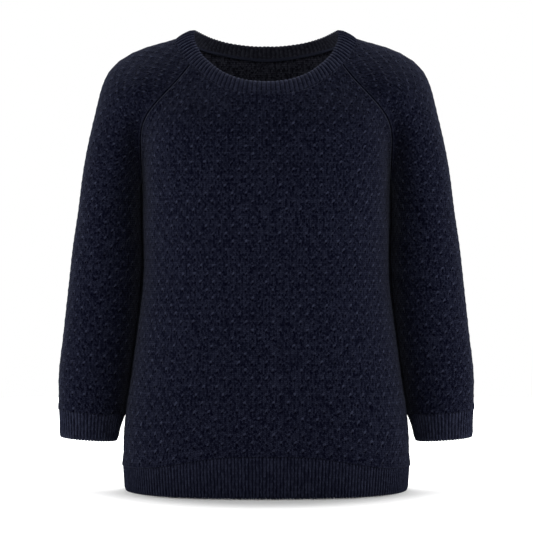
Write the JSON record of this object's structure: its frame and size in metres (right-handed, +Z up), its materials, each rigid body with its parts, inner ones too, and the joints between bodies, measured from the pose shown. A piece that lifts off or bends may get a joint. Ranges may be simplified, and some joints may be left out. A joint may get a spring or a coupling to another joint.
{
  "type": "crewneck sweater",
  "caption": "Navy crewneck sweater with raglan three-quarter sleeves in honeycomb tuck-stitch knit, rib neckband, cuffs and hem, filled out as worn and open at neck, hem and cuffs.",
  "frame": {"origin": "middle of the neck opening at shoulder height, where the wearer's shoulders hold the sweater up", "axes": "+Z up, the front faces -Y, +X is the wearer's left"},
  "size_m": [0.5422, 0.2375, 0.5972],
  "materials": {
    "panel_knit": "matt navy wool-blend tuck-stitch knit with a soft nap",
    "rib_knit": "matt navy 1x1 rib knit"
  },
  "bodies": {
    "root": {"front": "panel_knit", "back": "panel_knit", "sleeve_left": "panel_knit", "sleeve_right": "panel_knit", "neckband": "rib_knit", "hem_rib_front": "rib_knit", "hem_rib_back": "rib_knit", "cuff_left": "rib_knit", "cuff_right": "rib_knit"}
  },
  "joints": []
}
